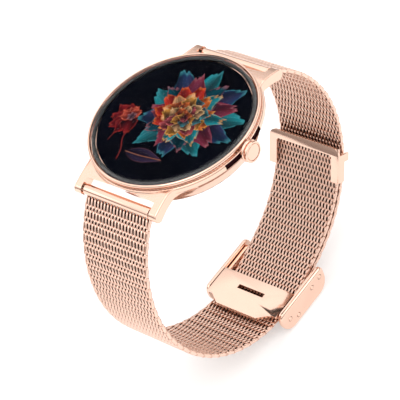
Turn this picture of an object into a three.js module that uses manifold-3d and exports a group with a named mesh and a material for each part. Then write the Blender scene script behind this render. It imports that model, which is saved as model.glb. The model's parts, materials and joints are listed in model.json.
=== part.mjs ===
// Round smartwatch on a woven steel mesh band, buckled round an empty wrist.
// Millimetres. +Z is out of the display, +Y is 12 o'clock, +X is 3 o'clock (the crown side).
// The origin is on the flat outer face of the clasp, straight below the middle of the display.

import * as THREE from 'three';
import { mergeVertices } from 'three/addons/utils/BufferGeometryUtils.js';
import Module from 'manifold-3d';

const wasm = await Module();
wasm.setup();

// ---------------------------------------------------------------- driving dimensions

const GLASS_HEIGHT = 69.6;        // top of the glass above the clasp's outer face
const GLASS_RADIUS = 20.1;
const CASE_RADIUS = 21.3;         // widest part of the side band
const SEAT_RADIUS = 18.9;         // pocket that the display drops into
const CAVITY_RADIUS = 17.8;       // pocket for the electronics
const CASE_BOTTOM = -8.3;         // lower edge of the middle case, below the glass top

const BAND_HALF_WIDTH = 10;
const MESH_THICKNESS = 1.2;
const LAYER_STEP = 1.55;          // from the middle of one mesh layer to the middle of the next

const LUG_INNER = 10.5;           // half the gap between a pair of lugs
const LUG_OUTER = 12.7;
const LUG_TIP_RADIUS = 1.5;
const BAR_Y = 22.9;               // spring bar axis, from the middle of the case
const BAR_Z = -5.1;               // spring bar axis, below the glass top
const END_TUBE_RADIUS = 1.3;
const END_TUBE_BORE = 0.95;

const CROWN_Z = -3.3;             // crown axis, below the glass top
const CROWN_RADIUS = 2.65;
const CROWN_BACK = 21.5;          // inner face of the crown's base disc
const INLAY_HALF_ANGLE = 17;      // degrees of the side band cut away on each side of the crown

const CLASP_OUTER = 12.6;         // outer face of the cheeks
const CHEEK_INNER = 11.4;
const ARM_OUTER = 11.1;           // arms of the lock plate and the cover run inside the cheeks
const ARM_INNER = 10.4;
const CLASP_TOP = 6.9;
const COVER_THICKNESS = 0.9;
const LOCK_PIVOT = [10.6, 4.9];   // Y, Z
const GUIDE_RIVET = [7.2, 4.6];
const WEB_RIVET = [0.2, 2.0];
const COVER_PIVOT = [-2.6, 3.6];

// Middle lines of the mesh layers, as ellipses in the YZ plane: centre and half axes.
const LOOP_6 = { y: 0, z: 38, a: 33.9, b: 34.9 };
const LOOP_12 = { y: 2.2, z: 37.5, a: 34.9, b: 33.6 };
const LOOP_TAIL = { y: 2.2, z: 37.5, a: 34.9 - LAYER_STEP, b: 33.6 - LAYER_STEP };

const FLEX_Z = 36.6;              // height at which each half of the band bends
const FRAME_Z = 23.4;             // height of the tail frame's middle

// ---------------------------------------------------------------- materials

function metal(name, color, roughness) {
  return new THREE.MeshStandardMaterial({ name, color, roughness, metalness: 1 });
}

function plain(name, color, roughness) {
  return new THREE.MeshStandardMaterial({ name, color, roughness, metalness: 0 });
}

const roseGold = metal('rose_gold', 0xe6b59e, 0.2);
const meshMetal = metal('mesh_metal', 0xdcab96, 0.32);
const steel = metal('steel', 0xb9bcc0, 0.3);
const copperGold = metal('contact_gold', 0xe0be72, 0.25);
const darkInlay = plain('dark_inlay', 0x2a1114, 0.35);
const blackPlastic = plain('black_plastic', 0x15151a, 0.45);
const backPlastic = plain('back_plastic', 0x1b1b20, 0.38);
const rubber = plain('rubber', 0x101012, 0.8);
const circuit = plain('circuit', 0x14422e, 0.5);
const pouch = plain('battery_pouch', 0x9aa0a8, 0.4);
const screen = plain('screen', 0x06080f, 0.2);
const glass = new THREE.MeshStandardMaterial({
  name: 'glass', color: 0xcfd8de, roughness: 0.03, metalness: 0, transparent: true, opacity: 0.2,
});
const sensorGlass = plain('sensor_glass', 0x121218, 0.08);

// ---------------------------------------------------------------- geometry helpers

function cleanGeometry(geometry) {
  const bare = geometry.clone();
  bare.deleteAttribute('normal');
  bare.deleteAttribute('uv');
  const merged = mergeVertices(bare, 1e-4);
  const index = [];
  const source = merged.index.array;
  for (let i = 0; i < source.length; i += 3) {
    const [a, b, c] = [source[i], source[i + 1], source[i + 2]];
    if (a !== b && b !== c && c !== a) index.push(a, b, c);
  }
  merged.setIndex(index);
  return merged;
}

function signedVolume(geometry) {
  const position = geometry.attributes.position;
  const index = geometry.index.array;
  const [a, b, c] = [new THREE.Vector3(), new THREE.Vector3(), new THREE.Vector3()];
  let sum = 0;
  for (let i = 0; i < index.length; i += 3) {
    a.fromBufferAttribute(position, index[i]);
    b.fromBufferAttribute(position, index[i + 1]);
    c.fromBufferAttribute(position, index[i + 2]);
    sum += a.dot(b.cross(c)) / 6;
  }
  return sum;
}

function outward(geometry) {
  const clean = cleanGeometry(geometry);
  if (signedVolume(clean) < 0) {
    const index = clean.index.array;
    for (let i = 0; i < index.length; i += 3) {
      [index[i + 1], index[i + 2]] = [index[i + 2], index[i + 1]];
    }
  }
  clean.computeVertexNormals();
  return clean;
}

function toSolid(geometry) {
  const clean = outward(geometry);
  return new wasm.Manifold(new wasm.Mesh({
    numProp: 3,
    vertProperties: new Float32Array(clean.attributes.position.array),
    triVerts: new Uint32Array(clean.index.array),
  }));
}

function toGeometry(solid) {
  const mesh = solid.getMesh();
  const geometry = new THREE.BufferGeometry();
  geometry.setAttribute('position', new THREE.BufferAttribute(mesh.vertProperties.slice(), 3));
  geometry.setIndex(Array.from(mesh.triVerts));
  return geometry;
}

function join(...geometries) {
  return toGeometry(geometries.map(toSolid).reduce((sum, next) => sum.add(next)));
}

function cut(base, ...tools) {
  return toGeometry(tools.map(toSolid).reduce((sum, tool) => sum.subtract(tool), toSolid(base)));
}

function overlap(first, second) {
  return toGeometry(toSolid(first).intersect(toSolid(second)));
}

// Solid of revolution about Z from [radius, z] points that close on themselves or on the axis.
function revolve(profile, segments = 72) {
  const points = profile.map(([r, z]) => new THREE.Vector2(r, z));
  if (profile[0][0] > 0) points.push(points[0].clone());
  return new THREE.LatheGeometry(points, segments).rotateX(Math.PI / 2);
}

function ring(inner, outer, low, high, segments = 72) {
  return revolve([[inner, low], [outer, low], [outer, high], [inner, high]], segments);
}

function disc(radius, low, high, segments = 48) {
  return revolve([[0, low], [radius, low], [radius, high], [0, high]], segments);
}

// The same about X, through the point (y, z): profile points are [radius, x].
function revolveX(profile, [y, z], segments = 24) {
  return revolve(profile, segments).rotateY(Math.PI / 2).translate(0, y, z);
}

function cylinderX(radius, from, to, centre, segments = 24) {
  return revolveX([[0, from], [radius, from], [radius, to], [0, to]], centre, segments);
}

function box(x, y, z) {
  return new THREE.BoxGeometry(x[1] - x[0], y[1] - y[0], z[1] - z[0])
    .translate((x[0] + x[1]) / 2, (y[0] + y[1]) / 2, (z[0] + z[1]) / 2);
}

function extrudeZ(shape, low, high, curveSegments = 12) {
  return new THREE.ExtrudeGeometry(shape, { depth: high - low, bevelEnabled: false, curveSegments })
    .translate(0, 0, low);
}

// A shape drawn in the YZ plane, extruded along X.
const YZ_PLANE = new THREE.Matrix4().set(0, 0, 1, 0, 1, 0, 0, 0, 0, 1, 0, 0, 0, 0, 0, 1);

function extrudeX(shape, low, high, curveSegments = 12) {
  return extrudeZ(shape, low, high, curveSegments).applyMatrix4(YZ_PLANE);
}

function polygon(points) {
  return new THREE.Shape(points.map(([a, b]) => new THREE.Vector2(a, b)));
}

function roundedRect(halfWidth, halfHeight, radius) {
  const shape = new THREE.Shape();
  const [w, h, r] = [halfWidth, halfHeight, radius];
  shape.moveTo(w, r - h);
  shape.absarc(w - r, h - r, r, 0, Math.PI / 2);
  shape.absarc(r - w, h - r, r, Math.PI / 2, Math.PI);
  shape.absarc(r - w, r - h, r, Math.PI, 1.5 * Math.PI);
  shape.absarc(w - r, r - h, r, 1.5 * Math.PI, 2 * Math.PI);
  return shape;
}

const watch = new THREE.Group();

function add(group, name, geometry, material) {
  const mesh = new THREE.Mesh(outward(geometry), material);
  mesh.name = name;
  group.add(mesh);
  return mesh;
}

// ---------------------------------------------------------------- case, measured down from the glass

const caseGroup = new THREE.Group();
caseGroup.position.z = GLASS_HEIGHT;
watch.add(caseGroup);

function caseBody() {
  return revolve([
    [0, -1.6], [20.2, -1.6], [20.2, -2.2], [20.95, -2.2], [21.15, -2.45], [CASE_RADIUS, -2.8],
    [CASE_RADIUS, -3.5], [21.0, -3.9], [20.3, -4.6], [19.6, -5.6], [19.0, -7.0], [18.6, CASE_BOTTOM],
    [0, CASE_BOTTOM],
  ], 60);
}

// Shoulder that spreads from the case to a pair of lugs at the +Y end.
function lugBlock() {
  const plan = polygon([
    [-16.6, 12.8], [-14.9, 14.2], [-13.6, 15.8], [-12.9, 17.4], [-LUG_OUTER, 19.2], [-LUG_OUTER, 26],
    [-LUG_INNER, 26], [-LUG_INNER, 19], [LUG_INNER, 19], [LUG_INNER, 26], [LUG_OUTER, 26],
    [LUG_OUTER, 19.2], [12.9, 17.4], [13.6, 15.8], [14.9, 14.2], [16.6, 12.8],
  ]);
  const side = new THREE.Shape();
  side.moveTo(12, -2.25);
  side.lineTo(12, -4.4);
  side.lineTo(17.5, -4.7);
  side.lineTo(20.4, -5.5);
  side.lineTo(BAR_Y, BAR_Z - LUG_TIP_RADIUS);
  side.absarc(BAR_Y, BAR_Z, LUG_TIP_RADIUS, -Math.PI / 2, Math.PI / 2, false);
  side.quadraticCurveTo(20.8, -2.8, 18.5, -2.3);
  return overlap(extrudeZ(plan, -9, 0), extrudeX(side, -20, 20));
}

// Concave front of the case between two lugs, leaning inwards towards the wrist.
function archCutter() {
  const shape = new THREE.Shape();
  shape.moveTo(-LUG_INNER, 26);
  shape.lineTo(-LUG_INNER, 21.6);
  shape.quadraticCurveTo(0, 20.8, LUG_INNER, 21.6);
  shape.lineTo(LUG_INNER, 26);
  const lean = 0.5;
  const shear = new THREE.Matrix4().set(1, 0, 0, 0, 0, 1, lean, 0, 0, 0, 1, 0, 0, 0, 0, 1);
  const top = -2.25;
  return extrudeZ(shape, -4.6, 0, 8).applyMatrix4(shear).translate(0, 0, top);
}

function caseFrame() {
  const half = new THREE.Matrix4().makeRotationZ(Math.PI);
  const outside = cut(
    join(caseBody(), lugBlock(), lugBlock().applyMatrix4(half)),
    archCutter(),
    archCutter().applyMatrix4(half),
  );
  const bossAngles = [45, 135, 225, 315];
  const pockets = toSolid(disc(SEAT_RADIUS, -2.7, 0, 60))
    .add(toSolid(disc(CAVITY_RADIUS, -9, -2.6, 60)));
  const bosses = bossAngles
    .map((angle) => toSolid(disc(1.7, -9, -5.4, 12).translate(...polar(16.2, angle), 0)))
    .reduce((sum, boss) => sum.add(boss));
  const screwHoles = bossAngles.map((angle) => disc(0.7, -9, -6.2, 10).translate(...polar(16.2, angle), 0));
  const inlayPocket = overlap(
    ring(20.25, 24, -3.75, -2.35, 96),
    wedge(INLAY_HALF_ANGLE + 0.8, 26, -8, 0),
  );
  const barHoles = [BAR_Y, -BAR_Y].map((y) => cylinderX(0.55, -11.8, 11.8, [y, BAR_Z]));
  return cut(
    toGeometry(toSolid(outside).subtract(pockets.subtract(bosses))),
    ...screwHoles,
    inlayPocket,
    cylinderX(1.17, 15, 24, [0, CROWN_Z]),
    ...barHoles,
  );
}

function polar(radius, degrees) {
  const angle = THREE.MathUtils.degToRad(degrees);
  return [radius * Math.cos(angle), radius * Math.sin(angle)];
}

// Block about the +X axis between plus and minus an angle.
function wedge(halfAngle, radius, low, high) {
  const [x, y] = polar(radius, halfAngle);
  return extrudeZ(polygon([[0, 0], [x, -y], [x, y]]), low, high);
}

function knurledRing() {
  const teeth = 80;
  const shape = new THREE.Shape();
  for (let i = 0; i < teeth; i += 1) {
    const crest = (i / teeth) * 360;
    const valley = ((i + 0.5) / teeth) * 360;
    const [cx, cy] = polar(21.0, crest);
    const [vx, vy] = polar(20.72, valley);
    if (i === 0) shape.moveTo(cx, cy);
    else shape.lineTo(cx, cy);
    shape.lineTo(vx, vy);
  }
  const hole = new THREE.Path();
  hole.absarc(0, 0, 20.35, 0, 2 * Math.PI, true);
  shape.holes.push(hole);
  return extrudeZ(shape, -2.12, -1.58, 24);
}

function caseShell() {
  add(caseGroup, 'case_frame', caseFrame(), roseGold);
  add(caseGroup, 'bezel_ring', revolve([
    [20.3, -1.5], [20.85, -1.5], [20.9, -1.15], [20.75, -0.85], [20.5, -0.72], [20.3, -0.8],
  ], 60), roseGold);
  add(caseGroup, 'knurled_ring', knurledRing(), roseGold);
  add(caseGroup, 'cover_glass', revolve([
    [0, -1.2], [19.9, -1.2], [GLASS_RADIUS, -0.95], [19.95, -0.6], [19.45, -0.28], [18.6, -0.08],
    [17.5, 0], [0, 0],
  ], 60), glass);
  add(caseGroup, 'glass_gasket', ring(19.0, 19.85, -1.5, -1.3, 40), rubber);
  add(caseGroup, 'display_panel', disc(18.7, -2.1, -1.32, 48), screen);
  add(caseGroup, 'display_carrier', cut(
    disc(17.5, -3.2, -2.5, 40),
    box([-4, 4], [-19, -14.5], [-4, -2]),
    box([10.3, 19], [-4, 4], [-4, -2]),
  ), blackPlastic);
  const inlay = cut(
    overlap(ring(20.4, 20.9, -3.65, -2.45, 144), wedge(INLAY_HALF_ANGLE, 26, -8, 0)),
    cylinderX(1.17, 15, 24, [0, CROWN_Z]),
  );
  add(caseGroup, 'crown_side_inlay_12', overlap(inlay, box([15, 24], [0, 9], [-8, 0])), darkInlay);
  add(caseGroup, 'crown_side_inlay_6', overlap(inlay, box([15, 24], [-9, 0], [-8, 0])), darkInlay);
  add(caseGroup, 'crown_tube', revolveX(
    [[0.85, 16.6], [1.1, 16.6], [1.1, 20.9], [0.85, 20.9]], [0, CROWN_Z],
  ), steel);
}

function backParts() {
  const coverPlate = revolve([
    [7.9, -9.3], [15.0, -9.3], [17.6, -8.95], [18.3, -8.6], [18.3, -8.5], [7.9, -8.5],
  ], 48);
  const screwAngles = [45, 135, 225, 315];
  const holes = screwAngles.map((angle) => disc(0.75, -11, -7, 10).translate(...polar(16.2, angle), 0));
  const sinks = screwAngles.map((angle) => disc(1.25, -11, -8.85, 14).translate(...polar(16.2, angle), 0));
  const contactHoles = [-2.2, 2.2].map((x) => disc(1.05, -11, -7, 14).translate(x, -11, 0));
  add(caseGroup, 'back_cover', cut(coverPlate, ...holes, ...sinks, ...contactHoles), backPlastic);
  add(caseGroup, 'back_gasket', ring(17.9, 18.25, -8.44, -8.33, 40), rubber);
  add(caseGroup, 'sensor_ring', ring(7.2, 7.75, -9.75, -8.6, 36), roseGold);
  add(caseGroup, 'sensor_window', revolve([
    [0, -10.2], [3.5, -10.1], [5.8, -9.85], [7.05, -9.5], [7.05, -9.0], [0, -9.0],
  ], 36), sensorGlass);
  const screw = revolve([
    [0, -9.3], [1.1, -9.3], [1.1, -8.9], [0.55, -8.85], [0.55, -6.5], [0, -6.5],
  ], 12);
  const driverSlot = box([-0.9, 0.9], [-0.18, 0.18], [-9.5, -9.05]);
  screwAngles.forEach((angle, i) => {
    const geometry = cut(screw, driverSlot).translate(...polar(16.2, angle), 0);
    add(caseGroup, `back_screw_${i + 1}`, geometry, steel);
  });
  [-2.2, 2.2].forEach((x, i) => {
    const contact = revolve([[0, -9.45], [0.85, -9.35], [0.85, -8.0], [0, -8.0]], 14);
    add(caseGroup, `charging_contact_${i + 1}`, contact.translate(x, -11, 0), copperGold);
  });
}

function electronics() {
  const board = cut(
    disc(15.6, -7.8, -7.1, 36),
    box([9.5, 18], [-4.5, 4.5], [-9, -6]),
    ...[45, 135, 225, 315].map((angle) => disc(2.2, -9, -6, 12).translate(...polar(16.2, angle), 0)),
  );
  add(caseGroup, 'main_board', board, circuit);
  add(caseGroup, 'shield_can', box([-4, 7], [-5, 6], [-7.0, -6.2]), steel);
  const cell = extrudeZ(roundedRect(9.5, 7, 1.2), -6.0, -3.6, 3).translate(-1.5, 0.5, 0);
  add(caseGroup, 'battery', cell, pouch);
  add(caseGroup, 'vibration_motor', disc(3.8, -6.0, -3.5, 24).translate(-2, 12.4, 0), steel);
  const speaker = extrudeZ(roundedRect(5.5, 2.8, 0.8), -6.2, -3.6, 3).translate(-3.5, -11.2, 0);
  add(caseGroup, 'speaker', speaker, blackPlastic);
  add(caseGroup, 'microphone', box([5.5, 8.5], [-12.5, -10.5], [-7.0, -5.9]), steel);
  add(caseGroup, 'optical_sensor', box([-3.2, 3.2], [-2.6, 2.6], [-8.9, -7.95]), blackPlastic);
  const plunger = cylinderX(0.5, 12.9, 13.5, [0, CROWN_Z], 16);
  const switchBody = join(box([10.6, 13.1], [-2.2, 2.2], [-4.8, -2.4]), plunger);
  add(caseGroup, 'crown_switch', switchBody, steel);
}

// ---------------------------------------------------------------- crown

function crown() {
  const axis = [0, CROWN_Z];
  add(caseGroup, 'crown_stem', revolveX([
    [0, 14.0], [1.0, 14.0], [1.0, 14.6], [0.75, 14.6], [0.75, 18.0], [0.55, 18.0], [0.55, 18.8],
    [0.75, 18.8], [0.75, 22.0], [0, 22.0],
  ], axis), steel);
  add(caseGroup, 'crown_seal', revolveX([
    [0.58, 18.1], [0.8, 18.1], [0.8, 18.7], [0.58, 18.7],
  ], axis), rubber);
  const back = CROWN_BACK;
  const body = revolveX([
    [0.85, back], [2.35, back], [CROWN_RADIUS, back + 0.22], [CROWN_RADIUS, back + 0.65],
    [2.5, back + 0.8], [2.0, back + 0.8], [2.0, back + 1.1], [2.4, back + 1.1],
    [2.55, back + 1.22], [2.55, back + 1.62], [2.4, back + 1.75], [0, back + 1.75],
    [0, back + 0.65], [0.85, back + 0.65],
  ], axis, 28);
  const posts = Array.from({ length: 12 }, (_, i) => box([back + 0.75, back + 1.15], [-0.22, 0.22], [1.9, 2.35])
    .rotateX((i / 12) * 2 * Math.PI)
    .translate(0, 0, CROWN_Z));
  const rimmed = cut(join(body, ...posts), cylinderX(2.05, back + 1.5, back + 3, axis, 28));
  add(caseGroup, 'crown_knob', rimmed, roseGold);
  add(caseGroup, 'crown_cap', revolveX([
    [0, back + 1.55], [1.98, back + 1.55], [1.98, back + 1.7], [1.4, back + 1.84], [0.8, back + 1.91],
    [0, back + 1.94],
  ], axis, 28), roseGold);
}

// ---------------------------------------------------------------- mesh band

// Points on an ellipse between two angles, in degrees from +Y towards +Z.
function ellipseArc(loop, from, to, steps) {
  return Array.from({ length: steps + 1 }, (_, i) => {
    const angle = THREE.MathUtils.degToRad(from + ((to - from) * i) / steps);
    return [loop.y + loop.a * Math.cos(angle), loop.z + loop.b * Math.sin(angle)];
  });
}

function angleAtHeight(loop, z) {
  return THREE.MathUtils.radToDeg(Math.asin((z - loop.z) / loop.b));
}

// Flat ribbon of mesh along a line of [y, z] points.
function ribbon(points) {
  const half = MESH_THICKNESS / 2;
  const sides = points.map(([y, z], i) => {
    const before = points[Math.max(i - 1, 0)];
    const after = points[Math.min(i + 1, points.length - 1)];
    const along = new THREE.Vector2(after[0] - before[0], after[1] - before[1]).normalize();
    return [[y - along.y * half, z + along.x * half], [y + along.y * half, z - along.x * half]];
  });
  const outline = [...sides.map((side) => side[0]), ...sides.map((side) => side[1]).reverse()];
  return extrudeX(polygon(outline), -BAND_HALF_WIDTH, BAND_HALF_WIDTH);
}

// Half a degree on each side of the flex line leaves the gap between the stiff halves.
const FLEX_GAP_ANGLE = 0.5;
const angle12 = angleAtHeight(LOOP_12, FLEX_Z);
const angle6 = 180 - angleAtHeight(LOOP_6, FLEX_Z);

const CLASP_PATH = [[-8, 4.12], [-4, 3.72], [0, 3.75], [4, 4.3], [8.5, 5.5]];

function bandMesh() {
  const upper12 = ellipseArc(LOOP_12, 51.0, angle12 + FLEX_GAP_ANGLE, 15);
  const lower12 = [...ellipseArc(LOOP_12, angle12 - FLEX_GAP_ANGLE, -71.5, 18), [9.5, 4.05]];
  add(watch, 'mesh_12_upper', ribbon(upper12), meshMetal);
  add(watch, 'mesh_12_lower', ribbon(lower12), meshMetal);

  const upper6 = ellipseArc(LOOP_6, 134.2, angle6 - FLEX_GAP_ANGLE, 14);
  const claspStart = 180 + THREE.MathUtils.radToDeg(Math.acos(13 / LOOP_6.a));
  const lower6 = ellipseArc(LOOP_6, angle6 + FLEX_GAP_ANGLE, claspStart, 16);
  const middle = lower6[lower6.length - 1];
  add(watch, 'mesh_6_upper', ribbon(upper6), meshMetal);

  const frameTop = angleAtHeight(LOOP_TAIL, FRAME_Z + 3.6);
  const rise = ellipseArc(LOOP_TAIL, -68, frameTop, 14);
  const curve = new THREE.CatmullRomCurve3(
    [middle, ...CLASP_PATH, rise[0]].map(([y, z]) => new THREE.Vector3(0, y, z)),
    false,
    'centripetal',
  );
  const claspStretch = curve.getPoints(24).map((p) => [p.y, p.z]);
  const half = 12;
  add(watch, 'mesh_6_lower', ribbon([...lower6, ...claspStretch.slice(1, half)]), meshMetal);
  add(watch, 'mesh_tail', ribbon([...claspStretch.slice(half + 1), ...rise.slice(1)]), meshMetal);
}

// ---------------------------------------------------------------- end tubes and spring bars

// Fittings at one end of the band, drawn at the +Y lugs and turned half round for the 6 o'clock end.
function bandEnd(label) {
  const holder = new THREE.Group();
  holder.position.set(0, 0, GLASS_HEIGHT);
  if (label === '6') holder.rotation.z = Math.PI;
  watch.add(holder);
  const axis = [BAR_Y, BAR_Z];

  const tube = revolveX([
    [END_TUBE_BORE, -10], [END_TUBE_RADIUS, -10], [END_TUBE_RADIUS, 10], [END_TUBE_BORE, 10],
  ], axis, 32);
  const inward = THREE.MathUtils.degToRad(-30);
  const window = box([-9.7, -7.0], [-0.5, 0.5], [-3, 0]).rotateX(inward).translate(0, BAR_Y, BAR_Z);
  add(holder, `strap_end_${label}`, cut(tube, window), roseGold);

  const barrel = revolveX([[0.5, -7.2], [0.8, -7.2], [0.8, 9.2], [0.5, 9.2]], axis, 20);
  add(holder, `spring_bar_${label}`, barrel, steel);
  const fixedTip = revolveX([
    [0, 8.0], [0.42, 8.0], [0.42, 9.4], [0.75, 9.4], [0.75, 9.8], [0.42, 9.8], [0.42, 11.6], [0, 11.6],
  ], axis, 20);
  add(holder, `bar_tip_${label}`, fixedTip, steel);
  const slidingTip = cylinderX(0.42, -11.6, -6.4, axis, 20);
  const thumb = join(
    new THREE.CylinderGeometry(0.35, 0.35, 1.9, 14).rotateX(Math.PI / 2).translate(0, 0, -0.95),
    new THREE.CylinderGeometry(0.55, 0.55, 0.4, 14).rotateX(Math.PI / 2).translate(0, 0, -1.9),
  ).rotateX(inward).translate(-9.1, BAR_Y, BAR_Z);
  add(holder, `quick_release_${label}`, join(slidingTip, thumb), steel);
}

// ---------------------------------------------------------------- clasp

function cheekShape() {
  const shape = new THREE.Shape();
  shape.moveTo(-1.8, 0);
  shape.lineTo(9.0, 0);
  shape.bezierCurveTo(11.2, 0, 12.7, 2.0, 12.7, 4.0);
  shape.lineTo(12.7, 5.5);
  shape.absarc(11.3, 5.5, 1.4, 0, Math.PI / 2, false);
  shape.lineTo(-3.6, CLASP_TOP);
  shape.bezierCurveTo(-4.8, CLASP_TOP, -5.4, 5.6, -5.4, 4.2);
  shape.bezierCurveTo(-5.4, 2.0, -4.0, 0, -1.8, 0);
  return shape;
}

function claspBody() {
  const cheek = extrudeX(cheekShape(), CHEEK_INNER, CLASP_OUTER, 10);
  const mirrored = extrudeX(cheekShape(), -CLASP_OUTER, -CHEEK_INNER, 10);
  const web = box([-CHEEK_INNER - 0.4, CHEEK_INNER + 0.4], [-1.2, 2.0], [1.3, 2.7]);
  const pivotHoles = [LOCK_PIVOT, COVER_PIVOT, GUIDE_RIVET].map((at) => cylinderX(0.66, -14, 14, at, 20));
  const webHoles = [[-14, -10.6], [10.6, 14]].map(([from, to]) => cylinderX(0.66, from, to, WEB_RIVET, 20));
  return cut(join(cheek, mirrored, web), ...pivotHoles, ...webHoles);
}

function lockPlate() {
  const plan = polygon([
    [-ARM_OUTER, 2.4], [-ARM_OUTER, -5.5], [-9.7, -5.5], [-6.4, -7.8], [6.4, -7.8], [9.7, -5.5],
    [ARM_OUTER, -5.5], [ARM_OUTER, 2.4],
  ]);
  const plate = cut(
    extrudeZ(plan, CLASP_TOP - 0.8, CLASP_TOP),
    box([-4.1, 4.1], [-1.8, -0.6], [5, 8]),
  );
  const armShape = new THREE.Shape();
  const [pivotY, pivotZ] = LOCK_PIVOT;
  armShape.moveTo(-4.8, 6.3);
  armShape.lineTo(-4.8, 5.4);
  armShape.lineTo(-4.2, 4.9);
  armShape.lineTo(2.6, 4.9);
  armShape.lineTo(pivotY - 2.5, 4.3);
  armShape.lineTo(pivotY, pivotZ - 1.0);
  armShape.absarc(pivotY, pivotZ, 1.0, -Math.PI / 2, Math.PI / 2, false);
  armShape.lineTo(2.4, pivotZ + 1.0);
  armShape.lineTo(2.4, 6.3);
  const arms = [[-ARM_OUTER, -ARM_INNER], [ARM_INNER, ARM_OUTER]]
    .map(([from, to]) => extrudeX(armShape, from, to, 8));
  const ribs = [-4.4, -3.0].map((y) => box([-9.8, 9.8], [y, y + 0.6], [4.65, 6.3]));
  return cut(join(plate, ...arms, ...ribs), cylinderX(0.53, -14, 14, LOCK_PIVOT, 20));
}

function claspCover() {
  const plate = box([-ARM_OUTER, ARM_OUTER], [-2.4, 11.6], [0, COVER_THICKNESS]);
  const lip = box([-8, 8], [10.9, 11.6], [0, 1.5]);
  const armShape = new THREE.Shape();
  const [pivotY, pivotZ] = COVER_PIVOT;
  armShape.moveTo(pivotY - 0.7, 0.5);
  armShape.lineTo(-2.2, 0);
  armShape.lineTo(-1.5, 0);
  armShape.lineTo(-1.5, 1.0);
  armShape.lineTo(pivotY + 0.85, pivotZ);
  armShape.absarc(pivotY, pivotZ, 0.85, 0, Math.PI, false);
  const arms = [[-ARM_OUTER, -ARM_INNER], [ARM_INNER, ARM_OUTER]]
    .map(([from, to]) => extrudeX(armShape, from, to, 8));
  return cut(join(plate, lip, ...arms), cylinderX(0.53, -14, 14, COVER_PIVOT, 20));
}

// Headed rivet on the +X side: a pin of one radius inside, a head that fills the cheek's hole.
function pivotRivet(reach) {
  return revolveX([
    [0, reach], [0.45, reach], [0.45, CHEEK_INNER + 0.1], [0.6, CHEEK_INNER + 0.1],
    [0.6, CLASP_OUTER + 0.02], [0.4, CLASP_OUTER + 0.14], [0, CLASP_OUTER + 0.14],
  ], [0, 0], 16);
}

function clasp() {
  add(watch, 'clasp_body', claspBody(), roseGold);
  add(watch, 'lock_plate', lockPlate(), roseGold);
  add(watch, 'clasp_cover', claspCover(), roseGold);
  const rivets = [
    ['lock_pivot', LOCK_PIVOT, 10.45],
    ['guide_rivet', GUIDE_RIVET, CHEEK_INNER + 0.05],
    ['web_rivet', WEB_RIVET, 10.7],
    ['cover_pivot', COVER_PIVOT, 10.45],
  ];
  rivets.forEach(([name, at, reach]) => {
    const rivet = pivotRivet(reach);
    add(watch, `${name}_left`, rivet.clone().rotateY(Math.PI).translate(0, ...at), roseGold);
    add(watch, `${name}_right`, rivet.translate(0, ...at), roseGold);
  });
  const bar = polygon([[9.2, 4.7], [9.2, 3.3], [7.0, 1.25], [3.6, 1.25], [3.6, 2.6], [5.2, 3.35]]);
  add(watch, 'band_end_bar', extrudeX(bar, -BAND_HALF_WIDTH, BAND_HALF_WIDTH), roseGold);
}

// Keeper on the band's tail: a U-shaped plate on the wrist side with walls round the mesh edges.
function tailFrame() {
  const shape = new THREE.Shape();
  const [half, tall, arm, radius] = [11, 4.65, 8.7, 2.0];
  shape.moveTo(half, -tall);
  shape.lineTo(half, tall - radius);
  shape.absarc(half - radius, tall - radius, radius, 0, Math.PI / 2, false);
  shape.lineTo(radius - half, tall);
  shape.absarc(radius - half, tall - radius, radius, Math.PI / 2, Math.PI, false);
  shape.lineTo(-half, -tall);
  shape.lineTo(-arm, -tall);
  shape.lineTo(-arm, 1.9);
  shape.lineTo(-arm + 0.5, 2.4);
  shape.lineTo(arm - 0.5, 2.4);
  shape.lineTo(arm, 1.9);
  shape.lineTo(arm, -tall);
  const plate = extrudeZ(shape, -1.85, -1.2, 8);
  const walls = [[-half, -10.3], [10.3, half]].flatMap((x) => [
    box(x, [-tall, tall - radius], [-1.5, 0.6]),
    box(x, [0.6, tall - radius], [-1.5, 2.2]),
  ]);
  return join(plate, ...walls);
}

function placeTailFrame() {
  const angle = THREE.MathUtils.degToRad(angleAtHeight(LOOP_TAIL, FRAME_Z));
  const along = new THREE.Vector3(0, -LOOP_TAIL.a * Math.sin(angle), LOOP_TAIL.b * Math.cos(angle)).normalize();
  const side = new THREE.Vector3(-1, 0, 0);
  const out = new THREE.Vector3().crossVectors(side, along);
  const mesh = add(watch, 'tail_frame', tailFrame(), roseGold);
  mesh.applyMatrix4(new THREE.Matrix4().makeBasis(side, along, out));
  mesh.position.set(0, LOOP_TAIL.y + LOOP_TAIL.a * Math.cos(angle), FRAME_Z);
}

caseShell();
backParts();
electronics();
crown();
bandMesh();
bandEnd('12');
bandEnd('6');
clasp();
placeTailFrame();

export default watch;
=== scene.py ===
"""Looks for a round smartwatch on a woven mesh band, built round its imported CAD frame."""
import json
import math

import bmesh
import bpy
import numpy as np
from mathutils import Matrix, Vector

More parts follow.
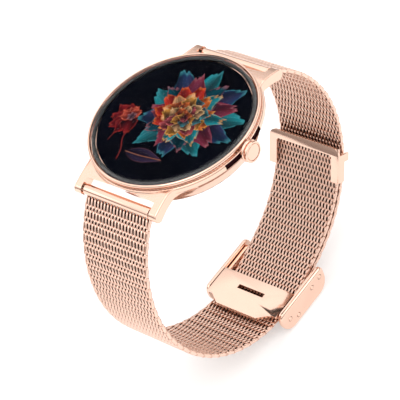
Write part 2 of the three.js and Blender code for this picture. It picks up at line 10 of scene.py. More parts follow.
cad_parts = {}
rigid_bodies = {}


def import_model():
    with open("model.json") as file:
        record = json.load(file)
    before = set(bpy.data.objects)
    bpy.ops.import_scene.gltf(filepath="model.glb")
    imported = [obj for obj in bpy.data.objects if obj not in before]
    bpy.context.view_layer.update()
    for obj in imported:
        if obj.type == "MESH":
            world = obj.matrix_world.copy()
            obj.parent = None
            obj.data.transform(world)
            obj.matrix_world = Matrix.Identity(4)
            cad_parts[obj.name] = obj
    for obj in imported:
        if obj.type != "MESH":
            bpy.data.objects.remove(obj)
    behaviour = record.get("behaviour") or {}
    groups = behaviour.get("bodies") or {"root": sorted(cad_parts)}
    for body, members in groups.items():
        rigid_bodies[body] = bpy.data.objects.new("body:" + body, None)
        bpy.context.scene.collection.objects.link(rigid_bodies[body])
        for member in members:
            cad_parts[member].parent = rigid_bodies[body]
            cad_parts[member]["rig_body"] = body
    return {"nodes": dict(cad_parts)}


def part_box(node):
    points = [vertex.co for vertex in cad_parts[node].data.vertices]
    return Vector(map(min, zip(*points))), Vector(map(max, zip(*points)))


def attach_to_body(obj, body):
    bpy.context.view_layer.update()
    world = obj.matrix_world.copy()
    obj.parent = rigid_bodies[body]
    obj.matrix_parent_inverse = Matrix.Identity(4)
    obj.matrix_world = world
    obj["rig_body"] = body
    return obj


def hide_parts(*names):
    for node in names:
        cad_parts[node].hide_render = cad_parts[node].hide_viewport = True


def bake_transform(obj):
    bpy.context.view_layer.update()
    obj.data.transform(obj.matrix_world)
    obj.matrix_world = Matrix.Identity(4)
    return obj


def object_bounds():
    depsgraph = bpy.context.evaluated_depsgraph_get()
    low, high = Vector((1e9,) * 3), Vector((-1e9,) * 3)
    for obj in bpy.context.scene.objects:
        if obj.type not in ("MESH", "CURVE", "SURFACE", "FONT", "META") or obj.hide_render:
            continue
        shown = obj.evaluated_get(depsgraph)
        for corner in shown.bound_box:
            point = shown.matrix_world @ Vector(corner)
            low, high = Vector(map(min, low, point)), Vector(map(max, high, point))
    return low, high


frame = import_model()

MM = 0.001
CAD_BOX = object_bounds()
LOW, HIGH = CAD_BOX

# ---------------------------------------------------------------- dimensions, in metres

GLASS_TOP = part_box("cover_glass")[1].z
CASE_RADIUS = 21.3 * MM           # widest part of the side band
BAR = (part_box("spring_bar_12")[0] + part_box("spring_bar_12")[1]) / 2
BAR_Y = BAR.y
BAR_Z = BAR.z - GLASS_TOP         # below the top of the glass
CROWN_Z = (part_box("crown_cap")[0].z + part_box("crown_cap")[1].z) / 2
INLAY_ANGLE = math.radians(17)    # half the stretch of side band cut away about the crown

# The middle of the band's thickness follows three ellipses, and through the clasp (y, z) points in millimetres:
LOOP_6 = {"y": 0, "z": 38 * MM, "a": 33.9 * MM, "b": 34.9 * MM}
LOOP_12 = {"y": 2.2 * MM, "z": 37.5 * MM, "a": 34.9 * MM, "b": 33.6 * MM}
LOOP_TAIL = {"y": 2.2 * MM, "z": 37.5 * MM, "a": 33.35 * MM, "b": 32.05 * MM}
CLASP_PATH = [(-8, 4.12), (-4, 3.72), (0, 3.75), (4, 4.3), (8.5, 5.5)]

# The weave: flattened coils lie across the band, each wound the other way from its neighbours.
BAND_HALF_WIDTH = 10 * MM
BAND_HALF_THICKNESS = 0.6 * MM
COIL_STEP = 1.45 * MM             # from one coil to the next, along the band
COIL_TURN = 1.0 * MM              # from one turn to the next, across the band
# Half of a coil's length along the band, to the middle of its wire, for every other coil in turn:
COIL_REACHES = (0.93 * MM, 0.93 * MM)
OPEN_REACHES = (1.12 * MM, 0.76 * MM)    # in the 6 o'clock half, which looks more open
WIRE_WIDE = 0.31 * MM             # half the flattened wire's width
WIRE_THICK = 0.21 * MM            # half its thickness

CLASP_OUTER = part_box("clasp_body")[1].x
CHEEK_INNER = 11.4 * MM
RIVETS = ("lock_pivot", "guide_rivet", "web_rivet", "cover_pivot")

# ---------------------------------------------------------------- colours, linear

ROSE = (0.90, 0.615, 0.49)
# A darker, more saturated copy of the rose gold below is painted shade.
ROSE_SHADED = (0.80, 0.47, 0.345)
WIRE_LIGHT = (0.93, 0.66, 0.54)
# The woven wire's painted shade, for the depth of the weave:
WIRE_DEPTH_SHADE = (0.055, 0.018, 0.010)
STEEL = (0.56, 0.57, 0.58)


# ---------------------------------------------------------------- materials

def shader(name):
    material = bpy.data.materials.new(name)
    material.use_nodes = True
    tree = material.node_tree
    return material, tree, tree.nodes["Principled BSDF"]


def put(tree, kind, settings=None, **inputs):
    """A new node; inputs are given by name, with _ for a space."""
    made = tree.nodes.new("ShaderNode" + kind)
    for key, value in (settings or {}).items():
        setattr(made, key, value)
    for key, value in inputs.items():
        made.inputs[key.replace("_", " ")].default_value = value
    return made


def noise(tree, scale, detail=3.0):
    """Noise in the piece's own space, scale in cycles per metre."""
    place = put(tree, "TexCoord")
    made = put(tree, "TexNoise", Scale=scale, Detail=detail)
    tree.links.new(place.outputs["Object"], made.inputs["Vector"])
    return made.outputs["Fac"]


def spread(tree, value, low, high):
    made = put(tree, "MapRange", To_Min=low, To_Max=high)
    made.inputs["From Min"].default_value = 0.3
    made.inputs["From Max"].default_value = 0.7
    tree.links.new(value, made.inputs["Value"])
    return made.outputs["Result"]


def between(tree, value, first, second):
    """A colour from first, where value is 0, to second, where it is 1."""
    ramp = put(tree, "ValToRGB")
    ramp.color_ramp.elements[0].color = (*first, 1)
    ramp.color_ramp.elements[1].color = (*second, 1)
    tree.links.new(value, ramp.inputs["Fac"])
    return ramp.outputs["Color"]


def bumpy(tree, bsdf, value, strength, distance):
    bump = put(tree, "Bump", Strength=strength, Distance=distance)
    tree.links.new(value, bump.inputs["Height"])
    tree.links.new(bump.outputs["Normal"], bsdf.inputs["Normal"])


def finish(
    name, light, dark, rough, metallic=0.0, patch=400.0, grain=9000.0, bump=0.05, coat=0.0, shine=0.5,
):
    """The common recipe: a colour that drifts in patches, a roughness with a fine grain, and a light bump."""
    material, tree, bsdf = shader(name)
    bsdf.inputs["Metallic"].default_value = metallic
    bsdf.inputs["Coat Weight"].default_value = coat
    bsdf.inputs["Coat Roughness"].default_value = 0.05
    bsdf.inputs["Specular IOR Level"].default_value = shine
    colour = between(tree, spread(tree, noise(tree, patch), 0, 1), dark, light)
    tree.links.new(colour, bsdf.inputs["Base Color"])
    fine = noise(tree, grain, 5.0)
    tree.links.new(spread(tree, fine, rough * 0.8, rough * 1.25), bsdf.inputs["Roughness"])
    bumpy(tree, bsdf, fine, bump, 0.02 * MM)
    material.diffuse_color = (*light, 1)
    return material


def darker(colour, share):
    return tuple(c * share for c in colour)


def brushed_gold():
    """Satin metal with its brush marks along the band."""
    material, tree, bsdf = shader("satin_rose_gold")
    bsdf.inputs["Metallic"].default_value = 1
    place = put(tree, "TexCoord")
    stretch = put(tree, "Mapping")
    stretch.inputs["Scale"].default_value = (9000, 350, 9000)
    marks = put(tree, "TexNoise", Scale=1.0, Detail=4.0)
    tree.links.new(place.outputs["Object"], stretch.inputs["Vector"])
    tree.links.new(stretch.outputs["Vector"], marks.inputs["Vector"])
    fac = marks.outputs["Fac"]
    colour = between(tree, spread(tree, fac, 0, 1), darker(ROSE, 0.95), ROSE)
    tree.links.new(colour, bsdf.inputs["Base Color"])
    tree.links.new(spread(tree, fac, 0.22, 0.3), bsdf.inputs["Roughness"])
    bumpy(tree, bsdf, fac, 0.03, 0.01 * MM)
    return material


def wire_metal():
    """Drawn wire in the bright metal colour on its outer faces, darkened towards the depth of the weave as
    painted shade.
    """
    material, tree, bsdf = shader("woven_rose_wire")
    depth = put(tree, "Attribute", {"attribute_name": "height", "attribute_type": "GEOMETRY"})
    ramp = put(tree, "ValToRGB")
    stops = ramp.color_ramp.elements
    # The dark stop, at the weave's middle depth, is painted shade; the light one is the metal on the outer
    # faces.
    stops[0].position, stops[0].color = 0.26, (*WIRE_DEPTH_SHADE, 1)
    stops[1].position, stops[1].color = 0.74, (*WIRE_LIGHT, 1)
    middle = stops.new(0.52)
    middle.color = (0.68, 0.38, 0.27, 1)
    tree.links.new(depth.outputs["Fac"], ramp.inputs["Fac"])
    patches = between(tree, spread(tree, noise(tree, 900), 0, 1), (0.88, 0.86, 0.86), (1, 1, 1))
    mix = put(tree, "MixRGB", {"blend_type": "MULTIPLY"}, Fac=1.0)
    tree.links.new(ramp.outputs["Color"], mix.inputs["Color1"])
    tree.links.new(patches, mix.inputs["Color2"])
    tree.links.new(mix.outputs["Color"], bsdf.inputs["Base Color"])
    bsdf.inputs["Metallic"].default_value = 1
    fine = noise(tree, 14000, 4.0)
    tree.links.new(spread(tree, fine, 0.24, 0.36), bsdf.inputs["Roughness"])
    bumpy(tree, bsdf, fine, 0.06, 0.02 * MM)
    return material


def clear_glass():
    """Coated glass that hardly reflects, except where it curves down at the rim."""
    material, tree, bsdf = shader("coated_glass")
    bsdf.inputs["Transmission Weight"].default_value = 1
    bsdf.inputs["IOR"].default_value = 1.03
    bsdf.inputs["Coat IOR"].default_value = 1.5
    bsdf.inputs["Coat Roughness"].default_value = 0.04
    place = put(tree, "TexCoord")
    flat = put(tree, "Mapping")
    flat.inputs["Scale"].default_value = (1, 1, 0)
    reach = put(tree, "VectorMath", {"operation": "LENGTH"})
    rim = put(tree, "MapRange", {"interpolation_type": "SMOOTHSTEP"})
    rim.inputs["From Min"].default_value = 18.9 * MM
    rim.inputs["From Max"].default_value = 20.1 * MM
    tree.links.new(place.outputs["Object"], flat.inputs["Vector"])
    tree.links.new(flat.outputs["Vector"], reach.inputs[0])
    tree.links.new(reach.outputs["Value"], rim.inputs["Value"])
    tree.links.new(rim.outputs["Result"], bsdf.inputs["Coat Weight"])
    smear = noise(tree, 260)
    tree.links.new(spread(tree, smear, 0.0, 0.004), bsdf.inputs["Roughness"])
    tree.links.new(between(tree, smear, (0.97, 0.985, 1), (1, 1, 1)), bsdf.inputs["Base Color"])
    return material


def picture_paint():
    """The lit picture: each petal's colours are painted on its points."""
    material, tree, bsdf = shader("lit_picture")
    paint = put(tree, "Attribute", {"attribute_name": "paint", "attribute_type": "GEOMETRY"})
    cells = between(tree, spread(tree, noise(tree, 5200, 5.0), 0, 1), (0.62, 0.60, 0.66), (1.25, 1.22, 1.2))
    mix = put(tree, "MixRGB", {"blend_type": "MULTIPLY"}, Fac=1.0)
    tree.links.new(paint.outputs["Color"], mix.inputs["Color1"])
    tree.links.new(cells, mix.inputs["Color2"])
    tree.links.new(mix.outputs["Color"], bsdf.inputs["Emission Color"])
    bsdf.inputs["Base Color"].default_value = (0.004, 0.004, 0.006, 1)
    bsdf.inputs["Emission Strength"].default_value = 1.0
    bsdf.inputs["Specular IOR Level"].default_value = 0.0
    bsdf.inputs["Roughness"].default_value = 0.6
    return material


def dark_screen():
    material, tree, bsdf = shader("dark_screen")
    patches = spread(tree, noise(tree, 90), 0, 1)
    glow = between(tree, patches, (0.0002, 0.0003, 0.0008), (0.0006, 0.0012, 0.0035))
    tree.links.new(glow, bsdf.inputs["Emission Color"])
    bsdf.inputs["Emission Strength"].default_value = 1.0
    bsdf.inputs["Base Color"].default_value = (0.002, 0.002, 0.003, 1)
    bsdf.inputs["Specular IOR Level"].default_value = 0.0
    tree.links.new(spread(tree, noise(tree, 4000), 0.4, 0.6), bsdf.inputs["Roughness"])
    return material


def circuit_board():
    """Green solder mask with copper tracks under it."""
    material, tree, bsdf = shader("circuit_board")
    place = put(tree, "TexCoord")
    tracks = put(tree, "TexBrick", Scale=600.0)
    tracks.inputs["Color1"].default_value = (0.012, 0.085, 0.035, 1)
    tracks.inputs["Color2"].default_value = (0.016, 0.105, 0.045, 1)
    tracks.inputs["Mortar"].default_value = (0.10, 0.20, 0.07, 1)
    tree.links.new(place.outputs["Object"], tracks.inputs["Vector"])
    tree.links.new(tracks.outputs["Color"], bsdf.inputs["Base Color"])
    tree.links.new(spread(tree, noise(tree, 3000), 0.3, 0.45), bsdf.inputs["Roughness"])
    bumpy(tree, bsdf, tracks.outputs["Fac"], 0.2, 0.03 * MM)
    return material


GOLD = finish("rose_gold_polished", ROSE, darker(ROSE, 0.96), 0.11, 1.0, 150, 12000, 0.02)
# A darker copy of the rose gold: painted shade for the slanting cuts under the bezel.
GOLD_SHADED = finish("rose_gold_painted_shade", ROSE_SHADED, darker(ROSE_SHADED, 0.94), 0.16, 1.0, 150, 12000, 0.03)
SATIN = brushed_gold()
WIRE = wire_metal()
# A dark sheet inside the weave: painted shade for its depth, which also stops the eye seeing through.
WEAVE_SHADE_SHEET = finish("weave_painted_shade", (0.040, 0.014, 0.008), (0.018, 0.006, 0.004), 0.6, 0.0, 800, 9000, 0.1)
METAL = finish("brushed_steel", STEEL, darker(STEEL, 0.85), 0.28, 1.0, 300, 9000, 0.08)
CONTACT = finish("gold_plating", (0.87, 0.62, 0.25), (0.78, 0.52, 0.19), 0.2, 1.0, 600, 9000, 0.05)
INLAY = finish(
    "dark_inlay", (0.024, 0.0065, 0.0075), (0.017, 0.0045, 0.0055), 0.55, patch=500, grain=7000, shine=0.0,
)
PLASTIC = finish("black_plastic", (0.009, 0.009, 0.011), (0.006, 0.006, 0.008), 0.42, 0.0, 500, 8000, 0.15)
BACK = finish("back_shell", (0.014, 0.014, 0.017), (0.010, 0.010, 0.013), 0.36, 0.0, 400, 10000, 0.12, 0.2)
RUBBER = finish("black_rubber", (0.006, 0.006, 0.006), (0.004, 0.004, 0.004), 0.75, 0.0, 700, 6000, 0.3)
POUCH = finish("battery_foil", (0.40, 0.42, 0.45), (0.30, 0.32, 0.35), 0.38, 0.7, 900, 4000, 0.25)
SENSOR = finish("sensor_glass", (0.010, 0.010, 0.014), (0.006, 0.006, 0.009), 0.06, 0, 300, 3000, 0.01, 1.0)
SCREEN = dark_screen()
PICTURE = picture_paint()
GLASS = clear_glass()
CIRCUIT = circuit_board()

# ---------------------------------------------------------------- mesh helpers


def placed(name, data):
    """A new object in the scene."""
    obj = bpy.data.objects.new(name, data)
    bpy.context.scene.collection.objects.link(obj)
    return obj


def make(name, vertices, faces, material=None, body=None, slot=None, replaces=(), smooth=35):
    """A new piece. Edges sharper than smooth degrees stay crisp."""
    mesh = bpy.data.meshes.new(name)
    mesh.from_pydata([tuple(v) for v in vertices], [], [tuple(f) for f in faces])
    obj = placed(name, mesh)
    if material:
        mesh.materials.append(material)
    tidy(obj, smooth)
    if body:
        attach(obj, body, replaces)
    return obj


def attach(obj, body, replaces=()):
    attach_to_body(obj, body)
    if replaces:
        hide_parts(*replaces)
    return obj


def tidy(obj, smooth):
    """Welds doubles, turns the faces outwards and marks sharp edges."""
    work = bmesh.new()
    work.from_mesh(obj.data)
    bmesh.ops.remove_doubles(work, verts=work.verts, dist=1e-7)
    bmesh.ops.recalc_face_normals(work, faces=work.faces)
    limit = math.radians(smooth)
    for face in work.faces:
        face.smooth = True
    for edge in work.edges:
        edge.smooth = len(edge.link_faces) == 2 and edge.calc_face_angle(0) < limit
    work.to_mesh(obj.data)
    work.free()
    obj.data.update()


def fillet(points, radius, steps=4, closed=True):
    """The outline with each corner turned into a curve that starts radius before it."""
    rounded = []
    count = len(points)
    for i, corner in enumerate(points):
        here = Vector(corner)
        if not closed and i in (0, count - 1):
            rounded.append(tuple(here))
            continue
        before, after = Vector(points[i - 1]), Vector(points[(i + 1) % count])
        start = here + (before - here).normalized() * min(radius, (before - here).length * 0.49)
        end = here + (after - here).normalized() * min(radius, (after - here).length * 0.49)
        for k in range(steps + 1):
            t = k / steps
            rounded.append(tuple(start * (1 - t) ** 2 + here * 2 * t * (1 - t) + end * t * t))
    return rounded


def lathe(profile, segments=128):
    """Vertices and faces of a solid turned about Z from closed [radius, z] points; radius 0 is the axis."""
    vertices, faces = [], []
    rows = []
    for r, z in profile:
        if r < 1e-9:
            rows.append([len(vertices)] * segments)
            vertices.append((0, 0, z))
            continue
        rows.append(range(len(vertices), len(vertices) + segments))
        for k in range(segments):
            angle = 2 * math.pi * k / segments
            vertices.append((r * math.cos(angle), r * math.sin(angle), z))
    on_axis = profile[0][0] < 1e-9 and profile[-1][0] < 1e-9
    pairs = list(zip(rows, rows[1:]))
    if not on_axis:
        pairs.append((rows[-1], rows[0]))
    for lower, upper in pairs:
        for k in range(segments):
            n = (k + 1) % segments
            loop = [lower[k], lower[n], upper[n], upper[k]]
            face = [v for i, v in enumerate(loop) if v not in loop[:i]]
            if len(face) > 2:
                faces.append(face)
    return vertices, faces


def in_metres(points, lift=0.0):
    """Points of a profile, given in millimetres, raised by lift."""
    return [(r * MM, lift + z * MM) for r, z in points]


def turned(node, profile, segments, material, slot):
    """A turned piece of the case, in place of its CAD node. Its profile is measured from the glass's top."""
    shape = lathe(in_metres(profile, GLASS_TOP), segments)
    make(node + "_fine", *shape, material, "case", slot, [node])


def pin(radius, low, high, segments):
    """A round rod about Z."""
    return lathe([(0, low), (radius, low), (radius, high), (0, high)], segments)


def moved(shape, matrix):
    vertices, faces = shape
    return [tuple(matrix @ Vector(v)) for v in vertices], faces


def along_x(shape, y=0.0, z=0.0):
    """A solid turned about Z, laid along X through (y, z)."""
    return moved(shape, Matrix.Translation((0, y, z)) @ Matrix.Rotation(math.pi / 2, 4, "Y"))


def inset(outline, distance):
    """The closed outline, anticlockwise, moved inwards."""
    points = np.array(outline, float)
    edge = np.roll(points, -1, 0) - points
    edge /= np.maximum(np.linalg.norm(edge, axis=1)[:, None], 1e-12)
    inward = np.stack([-edge[:, 1], edge[:, 0]], 1)
    bisector = inward + np.roll(inward, 1, 0)
    bisector /= np.maximum(np.linalg.norm(bisector, axis=1)[:, None], 1e-12)
    stretch = 1 / np.maximum((bisector * inward).sum(1), 0.5)
    return points + bisector * stretch[:, None] * distance


def anticlockwise(outline):
    points = np.array(outline, float)
    nxt = np.roll(points, -1, 0)
    area = (points[:, 0] * nxt[:, 1] - nxt[:, 0] * points[:, 1]).sum()
    return points if area > 0 else points[::-1]


def plate(outline, low, high, low_edge=0.0, high_edge=0.0, steps=4):
    """A plate in the XY plane from low to high, its two rims rounded by low_edge and high_edge."""
    points = anticlockwise(outline)
    layers = []
    for edge, base, sign in ((low_edge, low, 1), (high_edge, high, -1)):
        turns = [k / steps * math.pi / 2 for k in range(steps + 1)] if edge else [math.pi / 2]
        rim = [(edge * (1 - math.sin(t)), base + sign * edge * (1 - math.cos(t))) for t in turns]
        layers += rim if sign > 0 else rim[::-1]
    vertices, faces = [], []
    count = len(points)
    for distance, level in layers:
        vertices += [(x, y, level) for x, y in inset(points, distance)]
    for row in range(len(layers) - 1):
        for k in range(count):
            n = (k + 1) % count
            faces.append((row * count + k, row * count + n, (row + 1) * count + n, (row + 1) * count + k))
    faces.append(tuple(reversed(range(count))))
    faces.append(tuple(range((len(layers) - 1) * count, len(layers) * count)))
    return vertices, faces


def slab(x0, x1, y0, y1, low, high):
    """A plain block, only ever used to cut or to join."""
    return plate([(x0, y0), (x1, y0), (x1, y1), (x0, y1)], low, high)


# Turns a plate's X, Y and height into Y, Z and X.
YZ_PLANE = Matrix(((0, 0, 1, 0), (1, 0, 0, 0), (0, 1, 0, 0), (0, 0, 0, 1)))


def joined(*shapes):
    vertices, faces = [], []
    for v, f in shapes:
        start = len(vertices)
        vertices += list(v)
        faces += [[i + start for i in face] for face in f]
    return vertices, faces


def combine(obj, tools, operation, smooth=35):
    """Adds or cuts closed shapes, each a (vertices, faces) pair, and bakes the result into obj's mesh."""
    for shape in tools:
        tool = make(obj.name + "_tool", *shape)
        modifier = obj.modifiers.new("boolean", "BOOLEAN")
        modifier.operation = operation
        modifier.solver = "EXACT"
        modifier.object = tool
        evaluated = obj.evaluated_get(bpy.context.evaluated_depsgraph_get())
        baked = bpy.data.meshes.new_from_object(evaluated)
        obj.modifiers.clear()
        obj.data = baked
        bpy.data.objects.remove(tool)
    tidy(obj, smooth)


def refined(node, edge, material, segments=2, smooth=35, sharp=30):
    """A finer copy of a CAD node, its sharp edges really rounded."""
    source = frame["nodes"][node]
    mesh = source.data.copy()
    work = bmesh.new()
    work.from_mesh(mesh)
    bmesh.ops.remove_doubles(work, verts=work.verts, dist=1e-6)
    rims = [e for e in work.edges if len(e.link_faces) == 2 and e.calc_face_angle(0) > math.radians(sharp)]
    bmesh.ops.bevel(
        work, geom=rims, offset=edge, segments=segments, profile=0.5, affect="EDGES", clamp_overlap=True,
    )
    work.to_mesh(mesh)
    work.free()
    obj = placed(node + "_fine", mesh)
    mesh.materials.clear()
    mesh.materials.append(material)
    tidy(obj, smooth)
    return attach(obj, source["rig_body"], [node])


# ---------------------------------------------------------------- the woven band


def ellipse(loop, start, end, steps):
    """Points (y, z) on an ellipse between two angles, in radians from +Y towards +Z."""
    turn = np.linspace(start, end, steps + 1)
    return np.stack([loop["y"] + loop["a"] * np.cos(turn), loop["z"] + loop["b"] * np.sin(turn)], 1)


def part_way(first, second, low, high, t):
    """Between first, at low, and second, at high."""
    return (first * (high - t) + second * (t - low)) / (high - low)


def smooth_curve(points, steps):
    """A centripetal Catmull-Rom curve through all the points."""
    pts = np.array(points, float)
    pts = np.vstack([2 * pts[0] - pts[1], pts, 2 * pts[-1] - pts[-2]])
    out = []
    for i in range(1, len(pts) - 2):
        p = pts[i - 1:i + 3]
        knots = np.concatenate([[0], np.cumsum(np.linalg.norm(np.diff(p, axis=0), axis=1) ** 0.5)])
        last = i == len(pts) - 3
        for t in np.linspace(knots[1], knots[2], steps, endpoint=last):
            a = [part_way(p[k], p[k + 1], knots[k], knots[k + 1], t) for k in range(3)]
            b = [part_way(a[k], a[k + 1], knots[k], knots[k + 2], t) for k in range(2)]
            out.append(part_way(*b, knots[1], knots[2], t))
    return np.array(out)


class Run:
    """A line in the YZ plane that can be asked for its place and direction at any length along it."""

    def __init__(self, points):
        self.points = np.array(points, float)
        steps = np.linalg.norm(np.diff(self.points, axis=0), axis=1)
        self.reach = np.concatenate([[0], np.cumsum(steps)])
        self.length = self.reach[-1]
        heading = np.gradient(self.points, self.reach, axis=0)
        self.heading = heading / np.linalg.norm(heading, axis=1)[:, None]

    def at(self, s):
        place = np.stack([np.interp(s, self.reach, self.points[:, k]) for k in (0, 1)], -1)
        heading = np.stack([np.interp(s, self.reach, self.heading[:, k]) for k in (0, 1)], -1)
        heading = heading / np.linalg.norm(heading, axis=-1)[..., None]
        return place, heading

    def lift(self, x, s, height):
        """Points at x across the band, s along it and height above its middle."""
        place, heading = self.at(s)
        out = np.stack([heading[..., 1], -heading[..., 0]], -1)
        spot = place + out * height[..., None]
        return np.stack([x, spot[..., 0], spot[..., 1]], -1)


def wire(run, x, s, height, wide, thick, sides):
    """A flattened wire along points given in the band's own space, with a height value on each vertex; the
    wire's material darkens it towards height 0 as painted shade.
    """
    line = np.stack([x, s, height], 1)
    step = np.roll(line, -1, 0) - np.roll(line, 1, 0)
    step[0], step[-1] = line[1] - line[0], line[-1] - line[-2]
    step /= np.linalg.norm(step, axis=1)[:, None]
    up = np.zeros_like(step)
    up[:, 2] = 1
    across = np.cross(step, up)
    weak = np.linalg.norm(across, axis=1) < 0.35
    across[weak] = np.cross(step[weak], [0, 1, 0])
    across /= np.linalg.norm(across, axis=1)[:, None]
    across[(across[:, 0] < 0)] *= -1
    normal = np.cross(across, step)
    turn = np.arange(sides) / sides * 2 * math.pi
    ring = (
        across[:, None] * (np.cos(turn) * wide)[None, :, None]
        + normal[:, None] * (np.sin(turn) * thick)[None, :, None]
    )
    spots = line[:, None] + ring
    vertices = run.lift(spots[..., 0], spots[..., 1], spots[..., 2]).reshape(-1, 3)
    # The height value: 1 at the band's outer faces, 0 at its middle; the material paints shade from it.
    level = np.abs(spots[..., 2]).reshape(-1) / BAND_HALF_THICKNESS
    n = len(line)
    i, k = np.meshgrid(np.arange(n - 1), np.arange(sides), indexing="ij")
    j, m = i + 1, (k + 1) % sides
    quads = np.stack([i * sides + k, i * sides + m, j * sides + m, j * sides + k], -1)
    faces = quads.reshape(-1, 4).tolist()
    faces += [list(range(sides))[::-1], list(range((n - 1) * sides, n * sides))]
    return vertices, faces, level


def coil(run, middle, hand, reach, steps, sides):
    """One flattened coil across the band, reaching that far from its middle."""
    half = BAND_HALF_WIDTH - 0.35 * MM
    turns = 2 * half / COIL_TURN
    angle = np.linspace(0, turns * 2 * math.pi, int(turns * steps) + 1)
    c, s = np.cos(angle), np.sin(angle)
    along = reach * np.sign(c) * np.abs(c) ** 0.85
    lift = (BAND_HALF_THICKNESS - WIRE_THICK) * np.sign(s) * np.abs(s) ** 0.55
    x = -half + COIL_TURN * angle / (2 * math.pi)
    return wire(run, x, middle + along, hand * lift, WIRE_WIDE, WIRE_THICK, sides)


def selvedge(run, side, start, end):
    """A link of flattened wire that ties the ends of two coils together at the band's edge."""
    s = np.linspace(start, end, 9)
    t = np.linspace(-1, 1, 9)
    x = np.full_like(s, side * (BAND_HALF_WIDTH - 0.27 * MM)) - side * 0.1 * MM * t ** 6
    height = 0.10 * MM * t
    return wire(run, x, s, height, 0.27 * MM, 0.46 * MM, 8)


def ribbon(run, low, high, half_width, half_thickness):
    """A thin dark sheet between the two faces of the weave: painted shade for the depth there."""
    s = np.linspace(low, high, max(2, int((high - low) / (1.2 * MM))))
    w, t = half_width, half_thickness
    corners = [(-w, -t), (w, -t), (w, t), (-w, t)]
    spots = np.array([[(x, at, z) for x, z in corners] for at in s])
    vertices = run.lift(spots[..., 0], spots[..., 1], spots[..., 2]).reshape(-1, 3)
    faces = []
    for i in range(len(s) - 1):
        for k in range(4):
            n = (k + 1) % 4
            faces.append([i * 4 + k, i * 4 + n, (i + 1) * 4 + n, (i + 1) * 4 + k])
    faces += [[3, 2, 1, 0], [len(s) * 4 - 4 + k for k in range(4)]]
    return vertices, faces


def weave(name, run, reaches, steps=10, sides=6):
    """A stretch of woven band as one mesh: coils, selvedge links and a dark sheet of painted shade in its
    middle.
    """
    margin = max(reaches) + WIRE_WIDE * 0.9
    count = int((run.length - 2 * margin) / COIL_STEP) + 1
    spacing = (run.length - 2 * margin) / (count - 1)
    parts, shade_levels = [], []
    for i in range(count):
        reach = reaches[i % 2]
        vertices, faces, level = coil(run, margin + i * spacing, 1 if i % 2 else -1, reach, steps, sides)
        parts.append((vertices, faces))
        shade_levels.append(level)
    for i in range(0, count, 2):
        start = margin + (i - 0.95) * spacing
        end = margin + (i + 0.95) * spacing
        start, end = max(start, 0.1 * MM), min(end, run.length - 0.1 * MM)
        for side in (-1, 1):
            vertices, faces, level = selvedge(run, side, start, end)
            parts.append((vertices, faces))
            # The edge links get the full colour, with no painted shade.
            shade_levels.append(np.ones_like(level))
    wires = sum(len(f) for _, f in parts)
    # The dark sheet of painted shade in the middle of the weave.
    vertices, faces = ribbon(run, 0.4 * MM, run.length - 0.4 * MM, BAND_HALF_WIDTH - 0.6 * MM, 0.09 * MM)
    parts.append((vertices, faces))
    shade_levels.append(np.zeros(len(vertices)))
    vertices, faces = joined(*parts)
    mesh = bpy.data.meshes.new(name)
    mesh.from_pydata([tuple(v) for v in vertices], [], faces)
    mesh.materials.append(WIRE)
    mesh.materials.append(WEAVE_SHADE_SHEET)
    mesh.polygons.foreach_set("material_index", [0] * wires + [1] * (len(faces) - wires))
    mesh.polygons.foreach_set("use_smooth", [True] * wires + [False] * (len(faces) - wires))
    attribute = mesh.attributes.new("height", "FLOAT", "POINT")
    attribute.data.foreach_set("value", np.concatenate(shade_levels).astype(np.float32))
    mesh.update()
    return placed(name, mesh)


def band():
    start, end = math.radians(51.5), math.radians(-71.5)
    outer = ellipse(LOOP_12, start, end, 160)
    half_12 = weave("woven_band_12", Run(np.vstack([outer, [9.5 * MM, 4.05 * MM]])), COIL_REACHES)
    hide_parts("mesh_12_upper", "mesh_12_lower")
    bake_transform(half_12)

    start, end = math.radians(133.7), math.pi + math.acos(13 * MM / LOOP_6["a"])
    outer = ellipse(LOOP_6, start, end, 160)
    top = math.asin((27 * MM - LOOP_TAIL["z"]) / LOOP_TAIL["b"])
    rise = ellipse(LOOP_TAIL, math.radians(-68), top, 60)
    through = smooth_curve([outer[-1], *[(y * MM, z * MM) for y, z in CLASP_PATH], rise[0]], 8)
    half = len(through) // 2
    half_6 = weave("woven_band_6", Run(np.vstack([outer, through[1:half]])), OPEN_REACHES)
    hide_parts("mesh_6_upper", "mesh_6_lower")
    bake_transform(half_6)

    tail = weave("woven_band_tail", Run(np.vstack([through[half:], rise[1:]])), COIL_REACHES)
    attach(tail, "band_6_lower", ["mesh_tail"])


# ---------------------------------------------------------------- case


